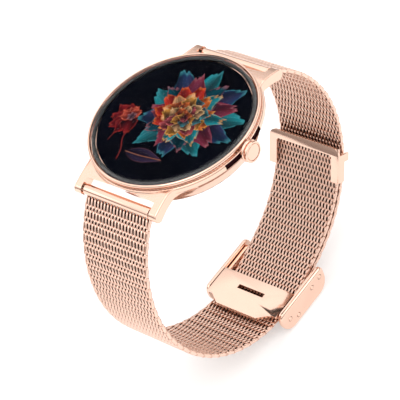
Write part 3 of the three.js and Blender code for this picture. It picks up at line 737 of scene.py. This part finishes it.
def lug_pair():
    """The plate that runs out of the +Y side of the case into its pair of lugs.

    Its edges are rounded, with a fine seam along each. Its middle is cut away later. All in millimetres.
    """
    side = smooth_curve(
        [(12.8, 16.6), (14.2, 14.9), (15.8, 13.6), (17.4, 12.9), (19.2, 12.7), (24.6, 12.7)], 8,
    )
    tip_y, tip_z, tip_r = BAR_Y / MM, BAR_Z / MM, 1.5
    bend = np.linspace(0, 1, 9)[:, None]
    flat_end, corner, tip_start = (18.5, -2.3), (20.8, -2.8), (23.41, -3.69)
    crest = (1 - bend) ** 2 * flat_end + 2 * bend * (1 - bend) * corner + bend ** 2 * tip_start
    nose = [(tip_y + tip_r * math.sin(a), tip_r * math.cos(a)) for a in np.linspace(0, math.pi / 2, 16)]
    top = np.array([(12.0, -2.25), *crest.tolist(), *[(y, tip_z + h) for y, h in nose if y > 23.5]])
    low = np.array([(12.0, -4.4), (17.5, -4.7), (20.4, -5.5), *[(y, tip_z - h) for y, h in nose]])
    stations = [*np.linspace(12.8, tip_y, 44)]
    stations += [tip_y + tip_r * math.sin(a) for a in np.linspace(0.07, 1.52, 16)]
    vertices, faces = [], []
    for y in stations:
        half = np.interp(y, side[:, 0], side[:, 1])
        high, deep = np.interp(y, top[:, 0], top[:, 1]), np.interp(y, low[:, 0], low[:, 1])
        r = min(0.32, 0.42 * (high - deep))
        seam = min(0.09, 0.1 * (high - deep))
        ring = [(half - 0.62, high), (half - 0.55, high - seam), (half - 0.48, high)]
        ring = [(-x, z) for x, z in reversed(ring)] + ring
        inner = half - r
        for x, z, first in (
            (inner, high - r, 90), (inner, deep + r, 0), (-inner, deep + r, -90), (-inner, high - r, -180),
        ):
            for k in range(6):
                a = math.radians(first - 18 * k)
                ring.append((x + r * math.cos(a), z + r * math.sin(a)))
        vertices += [(x * MM, y * MM, z * MM) for x, z in ring]
    around = len(ring)
    for i in range(len(stations) - 1):
        for k in range(around):
            n = (k + 1) % around
            faces.append((i * around + k, (i + 1) * around + k, (i + 1) * around + n, i * around + n))
    faces.append(tuple(range(around)))
    faces.append(tuple(range((len(stations) - 1) * around, len(stations) * around))[::-1])
    return vertices, faces


def arch_cuts():
    """What is cut away to leave the concave fronts, which lean inwards towards the wrist."""
    cuts = []
    half_gap = 10.5
    face = -2.26 * MM
    line = [(half_gap * (1 - k / 12), 21.6 - 0.4 * (1 - (1 - k / 12) ** 2)) for k in range(25)]
    outline = [(half_gap, 27.0), *line, (-half_gap, 27.0)]
    vertices, faces = plate(in_metres(outline)[::-1], -7.2 * MM, face)
    leaned = [(x, y + 0.5 * (z - face), z) for x, y, z in vertices]
    for turn in (0, math.pi):
        cuts.append(moved((leaned, faces), Matrix.Rotation(turn, 4, "Z")))
    return cuts


def case():
    profile = fillet([
        (17.8, -2.6), (20.1, -1.65), (20.3, -2.2), (20.9, -2.2), (21.15, -2.4), (CASE_RADIUS / MM, -2.75),
        (CASE_RADIUS / MM, -3.55), (21.0, -3.95), (20.3, -4.6), (19.6, -5.6), (19.0, -7.0), (18.6, -8.3),
        (17.8, -8.3),
    ], 0.2, 3)
    shape = lathe(in_metres(profile), 240)
    body = make("case_middle", *shape)
    lugs = lug_pair()
    combine(body, [lugs, moved(lugs, Matrix.Rotation(math.pi, 4, "Z"))], "UNION")
    hollow = [(0, 0), (18.9, 0), (18.9, -2.7), (17.8, -2.7), (17.8, -9), (0, -9)]
    ring_cut = lathe(in_metres(hollow), 120)
    arc = [
        (r * math.cos(a), r * math.sin(a))
        for r, turn in ((20.25 * MM, 1), (24 * MM, -1))
        for a in np.linspace(-turn, turn, 25) * (INLAY_ANGLE + 0.014)
    ]
    recess = plate(arc, -3.75 * MM, -2.35 * MM)
    bore = along_x(pin(1.17 * MM, 15 * MM, 24 * MM, 32), 0, CROWN_Z - GLASS_TOP)
    sockets = [along_x(pin(0.55 * MM, -11.8 * MM, 11.8 * MM, 24), y, BAR_Z) for y in (BAR_Y, -BAR_Y)]
    combine(body, [ring_cut, *arch_cuts(), recess, bore, *sockets], "DIFFERENCE", 28)
    body.data.transform(Matrix.Translation((0, 0, GLASS_TOP)))
    body.data.materials.clear()
    body.data.materials.append(SATIN)
    body.data.materials.append(GOLD)
    for polygon in body.data.polygons:
        high = polygon.center.z > GLASS_TOP - 3.4 * MM
        flat = polygon.normal.z > 0.8 and high
        polygon.material_index = 0 if flat else 1
    attach(body, "case", ["case_frame"])


def coin_edge():
    """The ring of slanting cuts under the bezel."""
    teeth, across, rows = 150, 6, 5
    middle, depth, lean = 20.86, 0.13, 0.9
    hole = 20.35 * MM
    vertices, faces = [], []
    count = teeth * across
    for row in range(rows):
        z = GLASS_TOP + (-2.12 + 0.54 * row / (rows - 1)) * MM
        for k in range(count):
            angle = 2 * math.pi * k / count
            phase = 2 * math.pi * (k / across) + row * lean
            r = (middle + depth * math.cos(phase)) * MM
            vertices.append((r * math.cos(angle), r * math.sin(angle), z))
    inner = len(vertices)
    for z in (-2.12, -1.58):
        for k in range(count):
            angle = 2 * math.pi * k / count
            vertices.append((hole * math.cos(angle), hole * math.sin(angle), GLASS_TOP + z * MM))
    for k in range(count):
        n = (k + 1) % count
        for row in range(rows - 1):
            faces.append((row * count + k, row * count + n, (row + 1) * count + n, (row + 1) * count + k))
        top = (rows - 1) * count
        faces.append((inner + count + k, top + k, top + n, inner + count + n))
        faces.append((inner + n, n, k, inner + k))
        faces.append((inner + k, inner + count + k, inner + count + n, inner + n))
    make("knurled_ring_fine", vertices, faces, GOLD_SHADED, "case", "rose_gold", ["knurled_ring"])


def rings_and_glass():
    bezel = fillet([
        (20.3, -1.5), (20.85, -1.5), (20.9, -1.15), (20.75, -0.85), (20.5, -0.72), (20.3, -0.8),
    ], 0.12, 3)
    turned("bezel_ring", bezel, 240, GOLD, "rose_gold")
    coin_edge()
    turns = np.linspace(0, math.pi / 2, 14)
    arc = [(17.4 + 2.68 * math.sin(a), -0.95 * (1 - math.cos(a))) for a in turns]
    glass = [(0, -1.2), (19.9, -1.2), (20.08, -1.05), *reversed(arc), (0, 0)]
    turned("cover_glass", glass, 240, GLASS, "cover_glass")


# ---------------------------------------------------------------- the picture on the display

PICTURE_Z = GLASS_TOP - 1.31 * MM
LAYER = 0.0011 * MM


class Canvas:
    """Collects flat painted petals, each a little above the last."""

    def __init__(self, seed):
        self.random = np.random.default_rng(seed)
        self.vertices, self.faces, self.colours = [], [], []
        self.layer = 0

    def petal(
        self, x, y, angle, length, width, base, tip, ruffle=0.1, vein=0.35, shade=0.55, edge=None, leaf=False,
    ):
        """One petal from (x, y), pointing at angle in degrees, with painted veins, folds and a lit rim."""
        rows, columns = 20, 26
        turn = math.radians(angle)
        phases = self.random.uniform(0, 2 * math.pi, 4)
        u, v = np.meshgrid(np.linspace(0, 1, rows), np.linspace(-1, 1, columns), indexing="ij")
        if leaf:
            belly, round_tip = np.sin(u ** 0.8 * math.pi * 0.995), np.ones_like(v)
        else:
            belly, round_tip = np.sin(u ** 0.8 * math.pi * 0.84 + 0.1) ** 0.75, 1 - 0.3 * np.abs(v) ** 2.2
        wave = 1 + ruffle * (np.sin(v * 6 + phases[0]) * 0.6 + np.sin(v * 14 + phases[1]) * 0.4) * u ** 2
        along = u * length * round_tip * wave
        aside = v * width * belly * (1 + ruffle * np.sin(u * 9 + phases[2]))
        px = x + along * math.cos(turn) - aside * math.sin(turn)
        py = y + along * math.sin(turn) + aside * math.cos(turn)
        spots = np.stack([px, py], -1) * MM
        reach = np.linalg.norm(spots, axis=-1)
        spots *= np.minimum(1, 18.0 * MM / np.maximum(reach, 1e-9))[..., None]
        t = np.clip(u + 0.12 * np.sin(v * 5 + phases[3]), 0, 1)[..., None] ** 1.1
        colour = np.array(base) * (1 - t) + np.array(tip) * t
        veins = 1 - vein * (0.5 + 0.5 * np.sin(v * 26 + 3 * np.sin(u * 3 + phases[0]))) * (1 - 0.4 * u)
        folds = 0.72 + 0.38 * np.sin(v * 4.2 + phases[1] + u * 2.0)
        hollow = 1 - shade * (1 - u) ** 1.5
        rim = np.clip((np.maximum(np.abs(v), u) - 0.9) / 0.1, 0, 1)[..., None]
        colour = colour * (veins * folds * hollow)[..., None]
        glow = np.array(edge if edge is not None else np.minimum(np.array(tip) * 1.8 + 0.03, 1))
        colour = colour * (1 - rim * 0.75) + glow * rim * 0.75
        self.sheet(spots, np.clip(colour, 0, 1))

    def sheet(self, spots, colour):
        rows, columns = spots.shape[:2]
        start = sum(len(v) for v in self.vertices)
        level = PICTURE_Z + self.layer * LAYER
        self.layer += 1
        self.vertices.append(np.concatenate([spots.reshape(-1, 2), np.full((rows * columns, 1), level)], 1))
        self.colours.append(colour.reshape(-1, 3))
        i, k = np.meshgrid(np.arange(rows - 1), np.arange(columns - 1), indexing="ij")
        a = start + i * columns + k
        quads = np.stack([a, a + columns, a + columns + 1, a + 1], -1).reshape(-1, 4)
        self.faces += quads.tolist()

    def stem(self, points, width, colour):
        line = smooth_curve(points, 12)
        step = np.gradient(line, axis=0)
        step /= np.linalg.norm(step, axis=1)[:, None]
        aside = np.stack([-step[:, 1], step[:, 0]], 1) * width / 2
        spots = np.stack([line - aside, line + aside], 1) * MM
        shades = np.array(colour) * np.array([0.5, 1.0])[None, :, None] * np.ones((len(line), 2, 1))
        self.sheet(spots, shades)

    def build(self):
        vertices = np.concatenate(self.vertices)
        mesh = bpy.data.meshes.new("flower_picture")
        mesh.from_pydata([tuple(v) for v in vertices], [], self.faces)
        mesh.materials.append(PICTURE)
        paint = mesh.attributes.new("paint", "FLOAT_COLOR", "POINT")
        colours = np.concatenate([np.concatenate(self.colours), np.ones((len(vertices), 1))], 1)
        paint.data.foreach_set("color", colours.astype(np.float32).ravel())
        attach(placed("flower_picture", mesh), "case")


TEAL, AQUA, BLUE = (0.0, 0.10, 0.13), (0.015, 0.33, 0.36), (0.02, 0.06, 0.16)
PLUM, ROSY, CRIMSON = (0.10, 0.02, 0.07), (0.42, 0.05, 0.09), (0.30, 0.012, 0.015)
RED, ORANGE = (0.58, 0.035, 0.018), (0.72, 0.15, 0.03)
GOLDEN, CREAM = (0.82, 0.36, 0.06), (0.86, 0.50, 0.22)


def flowers():
    """A made-up bouquet: one large open flower, a smaller red one, a dark leaf and some stems."""
    art = Canvas(11)
    rnd = art.random
    centre = np.array([2.2, 1.6])

    art.stem([(-8.0, -5.0), (-8.6, -8.5), (-6.4, -12.4), (-5.6, -15.0)], 0.24, (0.30, 0.025, 0.02))
    art.stem([(-9.5, -5.0), (-11.4, -8.4), (-11.6, -11.0)], 0.18, (0.22, 0.02, 0.015))
    art.petal(
        -5.0, -12.2, 4, 10.5, 2.0, (0.012, 0.010, 0.03), (0.04, 0.02, 0.05), 0.02, 0.2, 0.2,
        (0.16, 0.06, 0.06), True,
    )
    art.stem([(-5.0, -12.2), (-1.0, -12.1), (5.2, -11.4)], 0.2, (0.42, 0.15, 0.07))

    for angle in (155, 190, 225, 262, 118, 300):
        art.petal(
            -10.8, -3.6, angle + rnd.uniform(-6, 6), rnd.uniform(4.4, 5.6), 2.3, (0.03, 0.003, 0.004),
            darker(CRIMSON, 0.8), 0.1, 0.4, 0.6, (0.5, 0.05, 0.03),
        )
    for angle in (130, 170, 95, 210, 50):
        length = rnd.uniform(2.4, 3.2)
        art.petal(-10.9, -2.6, angle, length, 1.5, (0.20, 0.01, 0.01), (0.62, 0.10, 0.05), 0.14, 0.3, 0.4)
    for angle in (60, 120, 180, 240, 300):
        art.petal(-10.6, -2.9, angle, 1.3, 0.7, (0.05, 0.03, 0.05), (0.30, 0.13, 0.14), 0.12)

    left, middle = centre + np.array([-0.6, 0.3]), centre + np.array([-0.4, 0.3])
    layers = (
        (centre, 4.6, darker(PLUM, 0.5), 0.8, (0.07, 0.45, 0.75, (0.05, 0.30, 0.33)), (
            (14, 15.6, AQUA), (52, 15.0, BLUE), (92, 14.6, AQUA), (128, 15.4, BLUE), (160, 12.6, AQUA),
            (200, 11.6, BLUE), (238, 12.6, AQUA), (280, 12.0, BLUE), (318, 13.4, AQUA), (350, 15.2, BLUE))),
        (centre, 3.9, (0.012, 0.016, 0.05), 0.62, (0.09, 0.45, 0.7, (0.36, 0.11, 0.13)), (
            (32, 12.6, ROSY), (72, 12.0, TEAL), (110, 12.8, ROSY), (146, 11.4, TEAL), (182, 9.8, ROSY),
            (222, 9.6, TEAL), (262, 9.4, ROSY), (300, 10.4, TEAL), (336, 12.4, ROSY))),
        (centre, 3.2, (0.02, 0.03, 0.07), 1, (0.1, 0.4, 0.6, GOLDEN), (
            (12, 10.4, AQUA), (62, 9.6, AQUA), (318, 9.4, AQUA), (272, 8.0, AQUA))),
        (left, 3.3, (0.20, 0.015, 0.01), 1, (0.06, 0.5, 0.6, ORANGE), (
            (96, 9.0, RED), (126, 9.2, RED), (156, 8.8, RED), (186, 8.2, RED), (216, 7.4, RED))),
        (centre, 3.0, (0.12, 0.02, 0.02), 0.8, (0.1, 0.5, 0.55, GOLDEN), (
            (70, 7.4, ORANGE), (30, 7.0, ORANGE), (350, 7.2, ORANGE), (310, 6.8, ORANGE), (270, 6.4, ORANGE),
            (236, 6.2, ORANGE))),
        (middle, 2.9, (0.50, 0.05, 0.02), 1, (0.05, 0.5, 0.5, ORANGE), (
            (110, 7.0, CREAM), (142, 7.2, CREAM), (176, 6.6, CREAM), (206, 5.8, CREAM))),
    )
    for spot, width, base, share, paint, petals in layers:
        for angle, length, tip in petals:
            art.petal(*spot, angle, length, width, base, darker(tip, share), *paint)
    for ring, count, size in ((3.1, 9, 3.2), (2.1, 8, 2.7), (1.1, 6, 2.2), (0.2, 4, 1.6)):
        for k in range(count):
            angle = 360 * k / count + rnd.uniform(-12, 12)
            spot = centre + ring * np.array([math.cos(math.radians(angle)), math.sin(math.radians(angle))])
            tip = (CREAM, ORANGE, (0.04, 0.24, 0.26), (0.5, 0.09, 0.10), GOLDEN)[int(rnd.integers(5))]
            art.petal(
                *spot, angle + rnd.uniform(-45, 45), size, size * 0.62, (0.07, 0.012, 0.015),
                darker(tip, 0.85), 0.14, 0.35, 0.6,
            )
    art.build()


def display():
    panel = fillet([(0, -2.1), (18.7, -2.1), (18.7, -1.32), (0, -1.32)], 0.08, 2, False)
    turned("display_panel", panel, 160, SCREEN, "display")
    flowers()


# ---------------------------------------------------------------- crown


def crown():
    back = 21.5 * MM
    top = CROWN_Z
    profile = [
        (0.85, 0), (2.3, 0), (2.65, 0.24), (2.65, 0.64), (2.46, 0.82), (2.0, 0.82), (2.0, 1.08),
        (2.4, 1.08), (2.55, 1.22), (2.55, 1.6), (2.4, 1.75), (2.08, 1.75), (2.08, 1.52), (0, 1.52),
        (0, 0.65), (0.85, 0.65),
    ]
    rounded = fillet(profile[:13], 0.09, 3, False) + profile[13:]
    shape = lathe(in_metres(rounded, back), 96)
    knob = make("crown_knob_fine", *along_x(shape, 0, top), GOLD)
    posts = []
    count = 18
    for k in range(count):
        turn = Matrix.Translation((0, 0, top)) @ Matrix.Rotation(2 * math.pi * k / count, 4, "X")
        rod = pin(0.16 * MM, 0.76 * MM, 1.14 * MM, 10)
        posts.append(moved(along_x(rod, 0, 2.14 * MM), turn @ Matrix.Translation((back, 0, 0))))
    combine(knob, [joined(*posts)], "UNION", 40)
    attach(knob, "crown", ["crown_knob"])
    turns = np.linspace(0.12, math.pi / 2, 10)
    dome = [(1.98 * math.cos(a), 1.6 + 0.33 * math.sin(a)) for a in turns]
    cap = [(0, 1.55), (1.9, 1.55), (1.98, 1.6), *dome[:-1], (0, 1.93)]
    shape = lathe(in_metres(cap, back), 96)
    make("crown_cap_fine", *along_x(shape, 0, top), GOLD, "crown", "rose_gold", ["crown_cap"])


# ---------------------------------------------------------------- end tubes, clasp and keeper


def end_tubes():
    for label, sign in (("12", 1), ("6", -1)):
        name = f"strap_end_{label}"
        profile = fillet([(0.95, -10), (1.3, -10), (1.3, 10), (0.95, 10)], 0.12, 3)
        shape = lathe(in_metres(profile), 64)
        tube = make(name + "_fine", *along_x(shape, BAR_Y * sign, BAR_Z + GLASS_TOP), GOLD)
        low, high = (-9.7, -7.0) if sign > 0 else (7.0, 9.7)
        hole = slab(low * MM, high * MM, -0.5 * MM, 0.5 * MM, -3 * MM, 0)
        lean = Matrix.Rotation(math.radians(-30 * sign), 4, "X")
        place = Matrix.Translation((0, BAR_Y * sign, BAR_Z + GLASS_TOP)) @ lean
        combine(tube, [moved(hole, place)], "DIFFERENCE")
        attach(tube, f"band_{label}_upper", [name])


def bezier(a, b, c, d, steps=10):
    points = []
    for k in range(1, steps + 1):
        t = k / steps
        points.append(tuple(
            p * (1 - t) ** 3 + 3 * q * t * (1 - t) ** 2 + 3 * r * t * t * (1 - t) + s * t ** 3
            for p, q, r, s in zip(a, b, c, d)
        ))
    return points


def cheek_outline():
    corner = [(11.3 + 1.4 * math.cos(a), 5.5 + 1.4 * math.sin(a)) for a in np.linspace(0, math.pi / 2, 9)]
    return [
        (-1.8, 0), (9.0, 0), *bezier((9.0, 0), (11.2, 0), (12.7, 2.0), (12.7, 4.0)), *corner, (-3.6, 6.9),
        *bezier((-3.6, 6.9), (-4.8, 6.9), (-5.4, 5.6), (-5.4, 4.2)),
        *bezier((-5.4, 4.2), (-5.4, 2.0), (-4.0, 0), (-1.8, 0))[:-1],
    ]


def clasp():
    outline = in_metres(cheek_outline())
    cheek = moved(plate(outline, CHEEK_INNER, CLASP_OUTER, 0.08 * MM, 0.75 * MM, 6), YZ_PLANE)
    mirror = Matrix.Diagonal((-1, 1, 1, 1))
    other = (moved(cheek, mirror)[0], [list(reversed(f)) for f in cheek[1]])
    body = make("clasp_body_fine", *cheek, GOLD)
    reach = CHEEK_INNER + 0.3 * MM
    web = moved(slab(-1.2 * MM, 2.0 * MM, 1.3 * MM, 2.7 * MM, -reach, reach), YZ_PLANE)
    combine(body, [other, web], "UNION")
    holes = []
    for name in RIVETS:
        low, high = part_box(name + "_right")
        y, z = (low.y + high.y) / 2, (low.z + high.z) / 2
        spans = [(10.6, 14), (-14, -10.6)] if name == "web_rivet" else [(-14, 14)]
        for start, end in spans:
            holes.append(along_x(pin(0.66 * MM, start * MM, end * MM, 28), y, z))
        head(name, y, z)
    combine(body, holes, "DIFFERENCE", 40)
    attach(body, "band_6_lower", ["clasp_body"])
    refined("lock_plate", 0.09 * MM, GOLD)
    refined("clasp_cover", 0.09 * MM, GOLD)
    refined("tail_frame", 0.1 * MM, GOLD, 3)
    refined("band_end_bar", 0.1 * MM, GOLD)


def head(name, y, z):
    """A rivet on both cheeks: a pin with a flat domed head, in a hole that leaves a thin dark ring."""
    for side, label in ((1, "right"), (-1, "left")):
        low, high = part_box(f"{name}_{label}")
        reach = min(abs(low.x), abs(high.x)) / MM
        profile = [
            (0, reach), (0.45, reach), (0.45, 11.5), (0.6, 11.5), (0.6, 12.5), (0.52, 12.66), (0.3, 12.73),
            (0, 12.74),
        ]
        shape = lathe(in_metres(profile), 32)
        vertices, faces = along_x(shape, y, z)
        if side < 0:
            vertices = [(-a, b, c) for a, b, c in vertices]
        node = f"{name}_{label}"
        make(node + "_fine", vertices, faces, GOLD, "band_6_lower", "rose_gold", [node])


# ---------------------------------------------------------------- back, inlay and inner pieces


def back():
    refined("back_cover", 0.08 * MM, BACK)
    refined("sensor_ring", 0.08 * MM, GOLD, 3)
    turns = np.linspace(0, math.pi / 2, 14)
    lens = [(7.05 * math.sin(a), -9.5 - 0.7 * math.cos(a) ** 1.3) for a in turns]
    turned("sensor_window", [*lens, (7.05, -9.0), (0, -9.0)], 96, SENSOR, "sensor_glass")
    for i in range(1, 5):
        refined(f"back_screw_{i}", 0.04 * MM, METAL)
    for i in (1, 2):
        node = f"charging_contact_{i}"
        low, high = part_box(node)
        x, y = (low.x + high.x) / 2, (low.y + high.y) / 2
        profile = [
            (0, low.z), (0.6 * MM, low.z + 0.03 * MM), (0.85 * MM, low.z + 0.14 * MM), (0.85 * MM, high.z),
            (0, high.z),
        ]
        shape = moved(lathe(profile, 40), Matrix.Translation((x, y, 0)))
        make(node + "_fine", *shape, CONTACT, "case", "contact_gold", [node])
    for end in ("12", "6"):
        refined(f"crown_side_inlay_{end}", 0.05 * MM, INLAY)


def dress():
    """Materials for the CAD nodes that stay."""
    looks = {
        "glass_gasket": RUBBER, "back_gasket": RUBBER, "crown_seal": RUBBER, "display_carrier": PLASTIC,
        "speaker": PLASTIC, "optical_sensor": SENSOR, "main_board": CIRCUIT, "battery": POUCH,
    }
    for name, obj in frame["nodes"].items():
        material = looks.get(name, METAL)
        obj.data.materials.clear()
        obj.data.materials.append(material)


# ---------------------------------------------------------------- studio


def studio():
    bpy.ops.mesh.primitive_grid_add(x_subdivisions=2, y_subdivisions=2, size=6, location=(0, 0, -0.0002))
    floor = bpy.context.object
    floor.name = "floor"
    pale = finish("pale_floor", (0.66, 0.657, 0.652), (0.655, 0.652, 0.648), 0.6, 0, 8, 60, 0.0)
    glow = pale.node_tree.nodes["Principled BSDF"]
    glow.inputs["Emission Color"].default_value = (1, 0.995, 0.99, 1)
    glow.inputs["Emission Strength"].default_value = 0.42
    floor.data.materials.append(pale)

    world = bpy.data.worlds.new("studio")
    bpy.context.scene.world = world
    world.use_nodes = True
    tree = world.node_tree
    place = put(tree, "TexCoord")
    split = put(tree, "SeparateXYZ")
    tree.links.new(place.outputs["Generated"], split.inputs["Vector"])
    ramp = put(tree, "ValToRGB")
    ramp.color_ramp.interpolation = "EASE"
    stops = ramp.color_ramp.elements
    stops[0].position, stops[0].color = 0.0, (0.20, 0.18, 0.175, 1)
    stops[1].position, stops[1].color = 0.8, (1.0, 0.995, 0.99, 1)
    low = stops.new(0.2)
    low.color = (0.34, 0.32, 0.31, 1)
    mid = stops.new(0.42)
    mid.color = (0.80, 0.785, 0.775, 1)
    tree.links.new(split.outputs["Z"], ramp.inputs["Fac"])
    tree.links.new(ramp.outputs["Color"], tree.nodes["Background"].inputs["Color"])
    tree.nodes["Background"].inputs["Strength"].default_value = 1.42

    middle = (LOW + HIGH) / 2
    softboxes = (
        ("key", 20, 70, 0.5, 0.28, 0.35),
        ("side", 130, 35, 0.6, 0.30, 0.3),
        ("fill", -60, 30, 0.7, 0.30, 0.2),
    )
    for name, azimuth, elevation, distance, size, power in softboxes:
        a, e = math.radians(azimuth), math.radians(elevation)
        spot = Vector((math.sin(a) * math.cos(e), -math.cos(a) * math.cos(e), math.sin(e))) * distance
        light = bpy.data.lights.new(name, "AREA")
        light.size = size
        light.energy = power
        obj = placed(name, light)
        obj.location = middle + spot
        obj.rotation_euler = spot.to_track_quat("Z", "Y").to_euler()


def camera():
    """A long lens from the front right, above, with the camera rolled."""
    azimuth, elevation, roll = math.radians(56.635), math.radians(43.523), math.radians(-25.85)
    distance = 0.4809
    aim = Vector((-3.99, -0.42, 38.94)) * MM
    back = Vector((
        math.sin(azimuth) * math.cos(elevation), -math.cos(azimuth) * math.cos(elevation),
        math.sin(elevation),
    ))
    level = Vector((math.cos(azimuth), math.sin(azimuth), 0))
    right = level * math.cos(roll) + back.cross(level) * math.sin(roll)
    up = back.cross(right)
    data = bpy.data.cameras.new("camera")
    data.lens = 181.11
    data.clip_start = 0.01
    obj = placed("camera", data)
    turn = Matrix((right, up, back)).transposed().to_4x4()
    obj.matrix_world = Matrix.Translation(aim + back * distance) @ turn
    bpy.context.scene.camera = obj
    bpy.context.scene.view_settings.view_transform = "Standard"


dress()
camera()
studio()
band()
case()
rings_and_glass()
display()
crown()
end_tubes()
clasp()
back()
